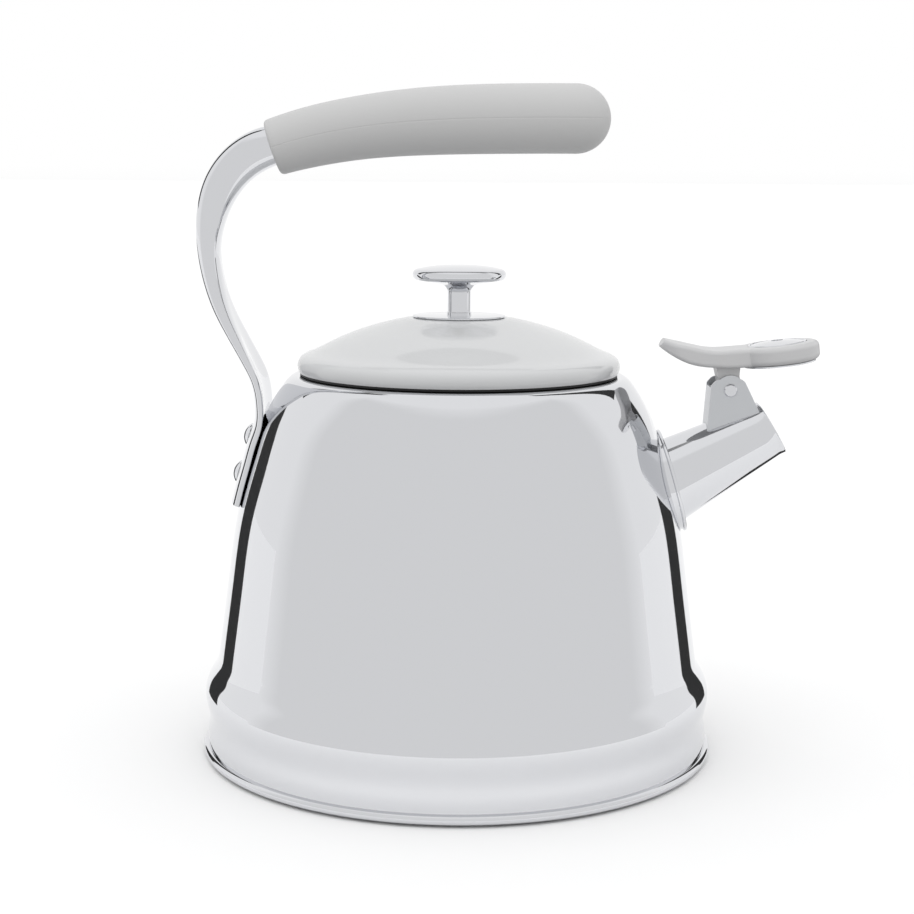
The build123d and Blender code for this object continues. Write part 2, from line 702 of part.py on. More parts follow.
def grip_core():
    core = grip_block(GRIP_SKIN, GRIP_END_WALL)
    core -= loft(tang_sections()) + loft(strap_sections())
    return core - rod(grip_pin_plane(), GRIP_PIN_R, -REACH, REACH)


def grip_sleeve():
    sleeve = grip_block(0, 0) - grip_block(GRIP_SKIN, GRIP_END_WALL)
    return sleeve - loft(tang_sections()) - loft(strap_sections())


def grip_pin():
    return rod(grip_pin_plane(), GRIP_PIN_R, -GRIP_PIN_HALF, GRIP_PIN_HALF)


PARTS = [
    foot_band, body_shell, mouth_collar, base_pan, heat_spreader, base_capsule,
    spout_tube, spout_flange, whistle_bracket, lever_pin, lever_washers,
    whistle_lever, whistle_top_plate, whistle_bottom_plate,
    lid_dome, lid_skirt, lid_gasket, knob, knob_collar, knob_plate, knob_washer, knob_screw,
    handle_strap, handle_rivets, rivet_washers, grip_core, grip_sleeve, grip_pin,
]

for part in PARTS:
    export_step(part(), f"parts/{part.__name__}.step")
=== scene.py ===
"""Stovetop whistling kettle: visible surfaces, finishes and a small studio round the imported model."""

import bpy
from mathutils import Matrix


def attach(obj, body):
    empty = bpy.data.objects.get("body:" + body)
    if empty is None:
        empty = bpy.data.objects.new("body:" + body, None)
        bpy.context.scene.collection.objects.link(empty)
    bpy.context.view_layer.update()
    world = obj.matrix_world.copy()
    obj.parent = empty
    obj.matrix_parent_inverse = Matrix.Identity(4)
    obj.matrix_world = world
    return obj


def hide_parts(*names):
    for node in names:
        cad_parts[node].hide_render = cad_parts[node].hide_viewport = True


bl_info = {
    "name": "Whistling kettle surfaces",
    "version": (1, 0, 0),
    "blender": (4, 5, 0),
    "location": "3D Viewport > Sidebar > Kettle",
    "description": "Builds the turned, drawn and moulded surfaces of a stovetop kettle and their finishes",
    "category": "Object",
}

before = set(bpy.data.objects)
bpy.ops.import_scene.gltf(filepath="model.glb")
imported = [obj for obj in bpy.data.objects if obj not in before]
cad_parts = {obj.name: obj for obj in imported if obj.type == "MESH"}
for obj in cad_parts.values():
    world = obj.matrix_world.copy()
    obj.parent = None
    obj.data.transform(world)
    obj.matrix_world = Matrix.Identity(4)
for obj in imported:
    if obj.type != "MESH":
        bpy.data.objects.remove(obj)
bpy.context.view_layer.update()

from math import atan2, cos, pi, radians, sin, tan

import bmesh
import bpy
from bpy.props import FloatProperty, FloatVectorProperty, IntProperty, PointerProperty
from mathutils import Matrix, Vector

MM = 0.001

# ---- outlines, in millimetres: (radius, height) round the axis that a part is turned on ----

SHEET = 0.8
BODY_FOOT = (103.9, 3.4)
LOWER_WALL = [
    BODY_FOOT, (104.1, 9.0), (103.4, 16.2), (104.9, 24.8), (102.9, 32.6), (100.3, 36.9), (99.0, 42.8),
]
UPPER_WALL = [
    (99.0, 42.8), (95.2, 72.2), (90.8, 101.4), (84.9, 123.4), (79.6, 139.5), (73.2, 151.2), (66.4, 156.8),
]
UPRIGHT = (0, 1)
WALL_LEAN = (-0.125, 0.99)
INWARDS = (-1, 0)
MOUTH_R, LIP_R, COLLAR_FOOT = 60.0, 1.6, 149.5

PAN_FLOOR = [(1.0, 5.4), (94.0, 5.4)]
PAN_STEP = [(94.0, 5.4), (98.0, 4.2), (102.95, 2.85)]
ROLL_CENTRE, ROLL_R = (104.15, 2.85), 1.89

SPOUT_ROOT, SPOUT_MOUTH = Vector((90.6, 0, 114.8)), Vector((129.25, 0, 135.7))
SPOUT_ROOT_R, SPOUT_MOUTH_R, SPOUT_SHEET, SPOUT_TAIL = 16.7, 11.4, 0.9, 7.6
MOUTH_TILT = 30.8
FLANGE_CENTRE, FLANGE_TILT = Vector((87.65, 0, 113.0)), 15.8
FLANGE_R, FLANGE_HOLE_R, FLANGE_THICKNESS, FLANGE_EDGE_R = 21.8, 16.75, 1.5, 0.6
SEAT_R, SEAT_DEPTH, SEAT_OVERLAP, CUT_REACH = 20.9, 3.2, 0.05, 9

HEAD_FOOT, HEAD_TILT = Vector((131.6, 0, 162.0)), 96.9
WHISTLE_HOLE_R = 2.35
TOP_PLATE_R, TOP_PLATE_Z, TOP_PLATE_DOME, PLATE_ROLL_R, PLATE_SHEET = 12.0, 8.3, 1.4, 0.5, 0.6
BOTTOM_PLATE_R, BOTTOM_PLATE, BOTTOM_EDGE_R, BOSS_R, BOSS_TOP = 14.9, 0.8, 0.3, 8.7, 2.4

LID_SHEET = 1.2
LID_NOSE = [(65.2, 158.0), (66.1, 161.0), (63.6, 164.9)]
LID_DOME = [
    (63.6, 164.9), (60.3, 166.35), (53.8, 169.5), (42.8, 174.4),
    (30.0, 178.3), (20.5, 180.1), (13.0, 180.3), (2.7, 180.3),
]

KNOB_STEM = [(0.0, 182.4), (4.75, 182.4)]
KNOB_FLARE = [(4.75, 190.2), (7.4, 193.7)]
KNOB_RIM = [(17.0, 195.3), (19.15, 197.6), (17.4, 199.9)]
KNOB_TOP_Z = 201.6
KNOB_PLATE_R, KNOB_PLATE_Z, KNOB_PLATE, KNOB_PLATE_EDGE_R = 19.0, 180.35, 0.8, 0.35
SCREW_R = 2.5

RIVET_HEIGHTS = (115.0, 130.4)
RIVET_SEAT, RIVET_R, RIVET_TAIL_R, RIVET_TAIL, RIVET_TAIL_FOOT = 3.5, 2.5, 4.0, 1.5, -2.15
RIVET_SEGMENTS, RIVET_CREASE = 48, 40

# The strap up the wall, at these heights: depth over the wall, width and bend across it.
STRAP_WALL_HEIGHTS, STRAP_WALL = (104.6, 113.0, 122.0, 130.5, 136.5), (3.5, 40.0, 2.4)
# Strap stations off the wall: outer face (x, z), direction in degrees, depth, width and bend across it.
STRAP_STATIONS = [
    (-83.7, 144.6, 90, 3.6, 40, 2.3), (-84.9, 153.0, 104, 3.8, 39, 2.0),
    (-88.2, 160.5, 116, 4.3, 36.5, 1.6), (-93.6, 170.4, 119, 5.4, 31.5, 1.0),
    (-99.6, 181.4, 116.5, 7.0, 26, 0.6), (-104.1, 193.5, 106.5, 8.4, 21, 0.4),
    (-106.7, 207.0, 96, 9.6, 18, 0.4), (-106.9, 220.5, 84, 12.2, 16.5, 0.5),
    (-103.7, 234.8, 64.5, 15, 16, 0.6),
    (-95.6, 247.0, 42, 16.4, 16, 0.6), (-80.2, 256.2, 25, 16.4, 16, 0.6),
]
STRAP_TONGUE = (-66.0, 250.9, 15, 15.0, 14.0, 0.6)

# Grip stations: middle (x, z), direction in degrees from +X, height and width.
GRIP_STATIONS = [
    (-75.85, 248.05, 18.75, 22.8, 21.0),
    (-60.0, 252.6, 13.0, 24.2, 22.6),
    (-42.0, 256.1, 8.5, 25.3, 24.2),
    (-15.0, 259.0, 4.0, 27.0, 26.2),
    (15.0, 260.2, 1.5, 27.9, 27.6),
    (46.7, 260.5, 0.0, 28.0, 28.0),
]
GRIP_EDGE_R = 1.6
GRIP_BALL_R = 14.0

# Camera: place in metres, pitch down and roll in degrees, lens and sensor in millimetres.
CAMERA_PLACE, CAMERA_PITCH, CAMERA_ROLL = (-0.0005, -0.760, 0.2406), 8.85, 0.35
CAMERA_LENS, CAMERA_SENSOR, CAMERA_NEAR = 73.14, 36.0, 0.01

# Studio, in metres and degrees: paper floor, overhead light, and the height where the bounce fades in.
FLOOR_HALF, LIGHT_SPREAD, LIGHT_LEAN, BOUNCE_FADE = 30.0, 70, (12, -6), (-0.25, 0.0)
# Half-round screen: radius, height, half its sweep, sweep of a facet, and where it fades to white.
SCREEN_R, SCREEN_TOP, SCREEN_HALF_TURN, SCREEN_STEP = 0.4, 0.75, 92, 4
SCREEN_SIDE_FADE, SCREEN_TOP_FADE = (-0.07, 0.014), 0.15
FLAG_NEAR, FLAG_FAR = (0.175, 0.110), (0.215, 0.076)

# Outline of a flag: share of its width from the near edge, and height in metres.
FLAG_OUTLINE = [(0, 0), (1, 0), (1, 0.13), (0.9, 0.155), (0.6, 0.185), (0.2, 0.207), (0, 0.2)]
HIGH_FLAG = [(0, 0.235), (1, 0.235), (1, 0.6), (0, 0.6)]


# ---- colours ----


def from_hex(code):
    """Linear RGBA of an sRGB hex colour."""
    channels = [int(code[i : i + 2], 16) / 255 for i in (0, 2, 4)]
    linear = [c / 12.92 if c <= 0.04045 else ((c + 0.055) / 1.055) ** 2.4 for c in channels]
    return (*linear, 1.0)


# ---- what a user would change ----


class KettleSizes(bpy.types.PropertyGroup):
    """Sizes and mesh densities of the kettle's surfaces."""

    body_segments: IntProperty(
        name="Body segments", description="Faces round the body and the lid", default=256, min=32
    )
    small_segments: IntProperty(
        name="Small segments", description="Faces round the knob, spout and plates", default=128, min=16
    )
    rivet_head_radius: FloatProperty(
        name="Rivet head radius", description="Radius of the handle's rivet heads",
        default=5.0 * MM, unit="LENGTH", precision=4,
    )
    rivet_head_height: FloatProperty(
        name="Rivet head height", description="How far the rivet heads are domed",
        default=2.4 * MM, unit="LENGTH", precision=4,
    )
    grip_seam_depth: FloatProperty(
        name="Grip seam depth", description="Depth of the moulding line along the grip's sides",
        default=0.12 * MM, unit="LENGTH", precision=5,
    )


class KettleFinishes(bpy.types.PropertyGroup):
    """Colours and gloss of the kettle's materials."""

    steel_colour: FloatVectorProperty(
        name="Steel", description="Colour of polished steel", size=4, subtype="COLOR",
        default=from_hex("DADBDE"),
    )
    polish_roughness: FloatProperty(
        name="Polish", description="Roughness of the polished steel", default=0.03, subtype="FACTOR",
        min=0, max=1,
    )
    enamel_colour: FloatVectorProperty(
        name="Enamel", description="Colour of the lid's enamel", size=4, subtype="COLOR",
        default=from_hex("CDCECF"),
    )
    grip_colour: FloatVectorProperty(
        name="Grip", description="Colour of the grip's soft skin", size=4, subtype="COLOR",
        default=from_hex("C4C4C4"),
    )
    lever_colour: FloatVectorProperty(
        name="Lever", description="Colour of the whistle lever", size=4, subtype="COLOR",
        default=from_hex("C6C6C7"),
    )


class KettleStudio(bpy.types.PropertyGroup):
    """Light and backdrop."""

    surround: FloatProperty(
        name="Surround", description="Brightness of the white surround", default=1.0, min=0
    )
    bounce: FloatProperty(
        name="Bounce", description="Light that comes up from the floor onto matt surfaces",
        default=0.45, min=0,
    )
    front_tone: FloatProperty(
        name="Front tone", description="Brightness of the screen behind the camera", default=0.86, min=0
    )
    top_light: FloatProperty(
        name="Top light", description="Strength of the soft light overhead", default=0.5, min=0
    )


# ---- curves and outlines ----


def spline(points, start, end, steps):
    """Points on the smooth curve through the given ones, leaving and arriving along two directions."""
    knots = [Vector(p) for p in points]
    gaps = [(b - a).length for a, b in zip(knots, knots[1:])]
    slopes = [Vector(start).normalized()]
    ratio = [0.0]
    for i in range(1, len(knots) - 1):
        before, after = gaps[i - 1], gaps[i]
        pull = 3 * (after * (knots[i] - knots[i - 1]) / before + before * (knots[i + 1] - knots[i]) / after)
        divisor = 2 * (before + after) - after * ratio[-1]
        slopes.append((pull - after * slopes[-1]) / divisor)
        ratio.append(before / divisor)
    slopes.append(Vector(end).normalized())
    for i in range(len(knots) - 2, 0, -1):
        slopes[i] -= ratio[i] * slopes[i + 1]
    path = [knots[0]]
    for a, b, out, into, gap in zip(knots, knots[1:], slopes, slopes[1:], gaps):
        for step in range(1, steps + 1):
            t = step / steps
            path.append(
                (2 * t**3 - 3 * t**2 + 1) * a + (t**3 - 2 * t**2 + t) * gap * out
                + (3 * t**2 - 2 * t**3) * b + (t**3 - t**2) * gap * into
            )
    return path


def arc(centre, radius, start, end, steps):
    """Points on an arc between two angles in degrees."""
    turns = [radians(start + (end - start) * i / steps) for i in range(steps + 1)]
    return [Vector((centre[0] + radius * cos(a), centre[1] + radius * sin(a))) for a in turns]


def arc_through(a, b, c, steps):
    """Points on the arc from a through b to c."""
    (ax, ay), (bx, by), (cx, cy) = a, b, c
    d = 2 * (ax * (by - cy) + bx * (cy - ay) + cx * (ay - by))
    squares = [p[0] ** 2 + p[1] ** 2 for p in (a, b, c)]
    x = (squares[0] * (by - cy) + squares[1] * (cy - ay) + squares[2] * (ay - by)) / d
    y = (squares[0] * (cx - bx) + squares[1] * (ax - cx) + squares[2] * (bx - ax)) / d
    start, middle, end = (atan2(p[1] - y, p[0] - x) for p in (a, b, c))
    if (middle - start) % (2 * pi) > (end - start) % (2 * pi):
        sweep = (end - start) % (2 * pi) - 2 * pi
    else:
        sweep = (end - start) % (2 * pi)
    radius = (Vector(a) - Vector((x, y))).length
    turns = [start + sweep * i / steps for i in range(steps + 1)]
    return [Vector((x + radius * cos(t), y + radius * sin(t))) for t in turns]


def joined(*lines):
    """One line from several that follow on, without the repeated points."""
    path = []
    for line in lines:
        for point in line:
            point = Vector(point)
            if not path or (point - path[-1]).length > 1e-4:
                path.append(point)
    return path


def sheet(line, thickness):
    """Closed outline of a bent sheet, with the metal on the line's left."""
    other = []
    for i, point in enumerate(line):
        run = (line[min(i + 1, len(line) - 1)] - line[max(i - 1, 0)]).normalized()
        other.append(point + Vector((-run.y, run.x)) * thickness)
    return line + other[::-1] + [line[0]]


def wall_line():
    """Outside of the body from its foot to the ledge under the lid, then round the lip into the mouth."""
    top = UPPER_WALL[-1][1]
    return joined(
        spline(LOWER_WALL, UPRIGHT, WALL_LEAN, 8),
        spline(UPPER_WALL, WALL_LEAN, INWARDS, 10),
        arc((MOUTH_R + LIP_R, top - LIP_R), LIP_R, 90, 180, 6),
        [(MOUTH_R, COLLAR_FOOT)],
    )


def wall_at(height):
    """(radius, lean in degrees of the outward normal) of the upper wall at a height."""
    line = spline(UPPER_WALL, WALL_LEAN, INWARDS, 40)
    for low, high in zip(line, line[1:]):
        if low.y <= height <= high.y:
            share = (height - low.y) / (high.y - low.y)
            run = high - low
            return low.x + share * run.x, atan2(-run.x, run.y) * 180 / pi
    raise ValueError(f"the wall has no point at {height} mm")


# ---- placing ----


def along(angle):
    """Unit vector in the XZ plane at an angle in degrees from +X towards +Z."""
    return Vector((cos(radians(angle)), 0, sin(radians(angle))))


def standing(origin, angle):
    """Matrix from millimetres on a part's own axis, at an angle in the XZ plane, to the model."""
    across, up = along(angle - 90), along(angle)
    turn = Matrix((across, Vector((0, 1, 0)), up)).transposed().to_4x4()
    return Matrix.Translation(origin * MM) @ turn @ Matrix.Scale(MM, 4)


UPRIGHT_AXIS = Matrix.Scale(MM, 4)


# ---- geometry nodes ----


def node(tree, kind, values=None, **settings):
    """Adds a node to a tree, with its settings and with its inputs set or linked."""
    made = tree.nodes.new(kind)
    for name, value in settings.items():
        setattr(made, name, value)
    for name, value in (values or {}).items():
        socket = made.inputs[name]
        if isinstance(value, bpy.types.NodeSocket):
            tree.links.new(value, socket)
        else:
            socket.default_value = value
    return made


def new_group(name, inputs):
    """Geometry node group that takes and gives a geometry, with further named inputs."""
    tree = bpy.data.node_groups.new(name, "GeometryNodeTree")
    tree.interface.new_socket("Geometry", in_out="OUTPUT", socket_type="NodeSocketGeometry")
    tree.interface.new_socket("Geometry", in_out="INPUT", socket_type="NodeSocketGeometry")
    for label, kind in inputs.items():
        tree.interface.new_socket(label, in_out="INPUT", socket_type=kind)
    return tree


def close_group(tree, geometry, source):
    """Ends a group in Realize Instances and Set Material."""
    real = node(tree, "GeometryNodeRealizeInstances", {"Geometry": geometry})
    smooth = node(tree, "GeometryNodeSetShadeSmooth", {"Geometry": real.outputs[0]})
    coated = node(
        tree, "GeometryNodeSetMaterial",
        {"Geometry": smooth.outputs[0], "Material": source.outputs["Material"]},
    )
    node(tree, "NodeGroupOutput", {"Geometry": coated.outputs[0]})
    return tree


def turning_group():
    """Turns an outline of points round the Z axis into a closed skin, as a lathe does."""
    tree = new_group("turned_outline", {"Segments": "NodeSocketInt", "Material": "NodeSocketMaterial"})
    source = node(tree, "NodeGroupInput")
    size = node(tree, "GeometryNodeAttributeDomainSize", {"Geometry": source.outputs["Geometry"]})
    count, segments = size.outputs["Point Count"], source.outputs["Segments"]
    columns = node(tree, "ShaderNodeMath", {0: segments, 1: 1.0}, operation="ADD")
    grid = node(tree, "GeometryNodeMeshGrid", {"Vertices X": columns.outputs[0], "Vertices Y": count})
    index = node(tree, "GeometryNodeInputIndex")
    share = node(tree, "ShaderNodeMath", {0: index.outputs[0], 1: count}, operation="DIVIDE")
    column = node(tree, "ShaderNodeMath", {0: share.outputs[0]}, operation="FLOOR")
    row = node(tree, "ShaderNodeMath", {0: index.outputs[0], 1: count}, operation="MODULO")
    turn = node(tree, "ShaderNodeMath", {0: column.outputs[0], 1: segments}, operation="DIVIDE")
    angle = node(tree, "ShaderNodeMath", {0: turn.outputs[0], 1: 2 * pi}, operation="MULTIPLY")
    place = node(tree, "GeometryNodeInputPosition")
    picked = node(
        tree, "GeometryNodeSampleIndex",
        {"Geometry": source.outputs["Geometry"], "Index": row.outputs[0]},
        data_type="FLOAT_VECTOR", domain="POINT",
    )
    vector_in = next(s for s in picked.inputs if s.enabled and s.type == "VECTOR")
    tree.links.new(place.outputs[0], vector_in)
    vector_out = next(s for s in picked.outputs if s.enabled and s.type == "VECTOR")
    turned = node(
        tree, "ShaderNodeVectorRotate", {"Vector": vector_out, "Angle": angle.outputs[0]},
        rotation_type="Z_AXIS",
    )
    moved = node(
        tree, "GeometryNodeSetPosition", {"Geometry": grid.outputs["Mesh"], "Position": turned.outputs[0]}
    )
    closed = node(tree, "GeometryNodeMergeByDistance", {"Geometry": moved.outputs[0], "Distance": 1e-4})
    return close_group(tree, closed.outputs[0], source)


def rivet_group():
    """Sets one rivet on each point, along the point's own facing."""
    tree = new_group("rivets_on_points", {"Rivet": "NodeSocketObject", "Material": "NodeSocketMaterial"})
    source = node(tree, "NodeGroupInput")
    rivet = node(tree, "GeometryNodeObjectInfo", {"Object": source.outputs["Rivet"], "As Instance": True})
    facing = node(tree, "GeometryNodeInputNamedAttribute", {"Name": "facing"}, data_type="FLOAT_VECTOR")
    turn = node(
        tree, "FunctionNodeAlignRotationToVector", {"Vector": facing.outputs["Attribute"]}, axis="Z"
    )
    placed = node(
        tree, "GeometryNodeInstanceOnPoints",
        {
            "Points": source.outputs["Geometry"], "Instance": rivet.outputs["Geometry"],
            "Rotation": turn.outputs[0],
        },
    )
    return close_group(tree, placed.outputs[0], source)


def set_input(modifier, label, value):
    """Sets a modifier's input by its socket's identifier."""
    sockets = modifier.node_group.interface.items_tree
    identifier = next(s.identifier for s in sockets if s.in_out == "INPUT" and s.name == label)
    modifier[identifier] = value


def evaluated(obj):
    """Plain mesh of what an object's modifiers make; the object is removed."""
    bpy.context.view_layer.update()
    graph = bpy.context.evaluated_depsgraph_get()
    mesh = bpy.data.meshes.new_from_object(obj.evaluated_get(graph), depsgraph=graph)
    bpy.data.objects.remove(obj)
    return mesh


def loose_object(name, mesh):
    obj = bpy.data.objects.new(name, mesh)
    bpy.context.scene.collection.objects.link(obj)
    return obj


def lathe(outline, segments, material, matrix=UPRIGHT_AXIS, bend=None):
    """Mesh of a (radius, height) outline turned round its axis, then placed by a matrix."""
    mesh = bpy.data.meshes.new("outline")
    mesh.from_pydata([(p[0], 0, p[1]) for p in outline], [], [])
    obj = loose_object("outline", mesh)
    modifier = obj.modifiers.new("turned", "NODES")
    modifier.node_group = bpy.data.node_groups.get("turned_outline") or turning_group()
    set_input(modifier, "Segments", segments)
    set_input(modifier, "Material", material)
    made = evaluated(obj)
    if bend:
        for vertex in made.vertices:
            vertex.co = bend(vertex.co)
    made.transform(matrix)
    return made


def tidy(mesh, crease=32):
    """Turns every face outwards and keeps edges sharper than an angle in degrees crisp."""
    work = bmesh.new()
    work.from_mesh(mesh)
    bmesh.ops.recalc_face_normals(work, faces=work.faces)
    for face in work.faces:
        face.smooth = True
    work.to_mesh(mesh)
    work.free()
    mesh.set_sharp_from_angle(angle=radians(crease))
    return mesh


def piece(name, body, meshes, nodes, crease=32):
    """One finished piece from one or more closed meshes, riding on a body in place of CAD nodes."""
    work = bmesh.new()
    for mesh in meshes:
        work.from_mesh(mesh)
    for face in work.faces:
        face.material_index = 0
    whole = bpy.data.meshes.new(name)
    whole.materials.append(next(coat for coat in meshes[0].materials if coat))
    work.to_mesh(whole)
    work.free()
    obj = loose_object(name, tidy(whole, crease))
    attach(obj, body)
    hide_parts(*nodes)
    return obj


def dress(material, *names):
    """Gives CAD nodes that stay their finish."""
    for name in names:
        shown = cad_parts[name]
        if not shown.material_slots:
            shown.data.materials.append(material)
        for slot in shown.material_slots:
            slot.material = material


# ---- finishes ----


def finish(name):
    """(material, tree, shader) of a new material, or None for the last two if it is there already."""
    known = bpy.data.materials.get(name)
    if known:
        return known, None, None
    made = bpy.data.materials.new(name)
    made.use_nodes = True
    shader = next(n for n in made.node_tree.nodes if n.type == "BSDF_PRINCIPLED")
    return made, made.node_tree, shader


def set_shader(shader, **values):
    for label, value in values.items():
        shader.inputs[label.replace("_", " ")].default_value = value


def grain(tree, size_mm, detail=2.0, stretch=(1, 1, 1)):
    """Noise whose grains are a real size in millimetres, in the model's own coordinates."""
    place = node(tree, "ShaderNodeTexCoord")
    scaled = node(
        tree, "ShaderNodeMapping", {"Vector": place.outputs["Object"], "Scale": stretch}
    )
    return node(
        tree, "ShaderNodeTexNoise",
        {"Vector": scaled.outputs[0], "Scale": 1 / (size_mm * MM), "Detail": detail},
    )


def ranged(tree, value, low, high):
    """Maps a 0 to 1 value to a range."""
    spread = node(tree, "ShaderNodeMapRange", {"Value": value, "To Min": low, "To Max": high})
    return spread.outputs["Result"]


def bump(tree, shader, height, depth_mm, strength=1.0):
    raised = node(
        tree, "ShaderNodeBump", {"Height": height, "Distance": depth_mm * MM, "Strength": strength}
    )
    tree.links.new(raised.outputs[0], shader.inputs["Normal"])


def mirror_polished_stainless():
    """18/10 stainless sheet, buffed to a mirror: sharp reflections, a trace of haze from the mop."""
    made, tree, shader = finish("stainless_steel_mirror_polished")
    if tree:
        finishes = bpy.context.scene.kettle_finishes
        set_shader(shader, Base_Color=finishes.steel_colour, Metallic=1.0)
        haze = grain(tree, 14.0)
        low = finishes.polish_roughness
        tree.links.new(ranged(tree, haze.outputs[0], low, low * 1.8), shader.inputs["Roughness"])
        mop = grain(tree, 30.0, 1.0)
        bump(tree, shader, mop.outputs[0], 0.02, 0.25)
    return made


def spun_brushed_stainless():
    """Stainless steel brushed on the lathe: fine rings that draw the highlight out across them."""
    made, tree, shader = finish("stainless_steel_spun_brushed")
    if tree:
        set_shader(shader, Base_Color=from_hex("C9CACC"), Metallic=1.0)
        place = node(tree, "ShaderNodeTexCoord")
        flat = node(
            tree, "ShaderNodeVectorMath", {0: place.outputs["Object"], 1: (1, 1, 0)},
            operation="MULTIPLY",
        )
        out = node(tree, "ShaderNodeVectorMath", {0: flat.outputs[0]}, operation="LENGTH")
        rings = node(
            tree, "ShaderNodeTexNoise",
            {"W": out.outputs["Value"], "Scale": 1 / (0.45 * MM), "Detail": 3.0},
            noise_dimensions="1D",
        )
        tree.links.new(ranged(tree, rings.outputs[0], 0.22, 0.42), shader.inputs["Roughness"])
        bump(tree, shader, rings.outputs[0], 0.03, 0.6)
    return made


def bead_blasted_stainless():
    """Stainless steel blasted with glass beads: an even satin grey without direction."""
    made, tree, shader = finish("stainless_steel_bead_blasted")
    if tree:
        set_shader(shader, Base_Color=from_hex("C3C5C8"), Metallic=1.0)
        pits = grain(tree, 0.35)
        tree.links.new(ranged(tree, pits.outputs[0], 0.3, 0.42), shader.inputs["Roughness"])
        bump(tree, shader, pits.outputs[0], 0.012, 0.5)
    return made


def pressed_aluminium():
    """Aluminium disc as it leaves the press: dull silver with a coarse mottle."""
    made, tree, shader = finish("aluminium_pressed")
    if tree:
        set_shader(shader, Base_Color=from_hex("D5D6D8"), Metallic=1.0)
        mottle = grain(tree, 3.0)
        tree.links.new(ranged(tree, mottle.outputs[0], 0.4, 0.55), shader.inputs["Roughness"])
    return made


def vitreous_enamel():
    """Light grey glass enamel fired on steel: a deep gloss with the faint orange peel of the firing."""
    made, tree, shader = finish("vitreous_enamel_light_grey")
    if tree:
        set_shader(shader, Base_Color=bpy.context.scene.kettle_finishes.enamel_colour, IOR=1.52)
        flow = grain(tree, 6.0, 1.0)
        tree.links.new(ranged(tree, flow.outputs[0], 0.05, 0.09), shader.inputs["Roughness"])
        bump(tree, shader, flow.outputs[0], 0.012, 0.35)
    return made


def silicone_black_with_painted_gap_shade():
    """Black silicone rubber from a polished mould: dense black with a soft sheen. On the lid's gasket this
    black is partly the rubber's own colour and partly painted shade for the shadow in the gap under the
    lid.
    """
    made, tree, shader = finish("silicone_rubber_black_and_painted_gap_shade")
    if tree:
        set_shader(shader, Base_Color=from_hex("0B0B0C"), IOR=1.41)
        skin = grain(tree, 0.8)
        tree.links.new(ranged(tree, skin.outputs[0], 0.42, 0.55), shader.inputs["Roughness"])
    return made


def soft_touch_skin():
    """Thermoplastic rubber over-moulded in a spark-eroded mould: matt, fine grained, with a soft edge."""
    made, tree, shader = finish("tpe_soft_touch_overmoulded")
    if tree:
        set_shader(
            shader, Base_Color=bpy.context.scene.kettle_finishes.grip_colour, IOR=1.48, Sheen_Weight=0.12,
            Sheen_Roughness=0.45,
        )
        spark = grain(tree, 0.45)  # the real grain is nearer 0.1 mm
        tree.links.new(ranged(tree, spark.outputs[0], 0.5, 0.62), shader.inputs["Roughness"])
        bump(tree, shader, spark.outputs[0], 0.02, 0.4)
    return made


def glass_filled_nylon():
    """Injection-moulded nylon with glass fibre: dark grey, dull, faintly streaked along the flow."""
    made, tree, shader = finish("nylon_glass_filled_moulded")
    if tree:
        set_shader(shader, Base_Color=from_hex("54555A"), IOR=1.53)
        streaks = grain(tree, 1.2, 3.0, (0.2, 1, 1))
        tree.links.new(ranged(tree, streaks.outputs[0], 0.5, 0.65), shader.inputs["Roughness"])
    return made


def heat_proof_plastic():
    """Phenolic-type moulding from a satin tool: light grey with a low, even gloss."""
    made, tree, shader = finish("thermoset_satin_moulded_grey")
    if tree:
        set_shader(shader, Base_Color=bpy.context.scene.kettle_finishes.lever_colour, IOR=1.55)
        satin = grain(tree, 0.5)
        tree.links.new(ranged(tree, satin.outputs[0], 0.34, 0.44), shader.inputs["Roughness"])
        bump(tree, shader, satin.outputs[0], 0.01, 0.35)
    return made


# ---- operators ----


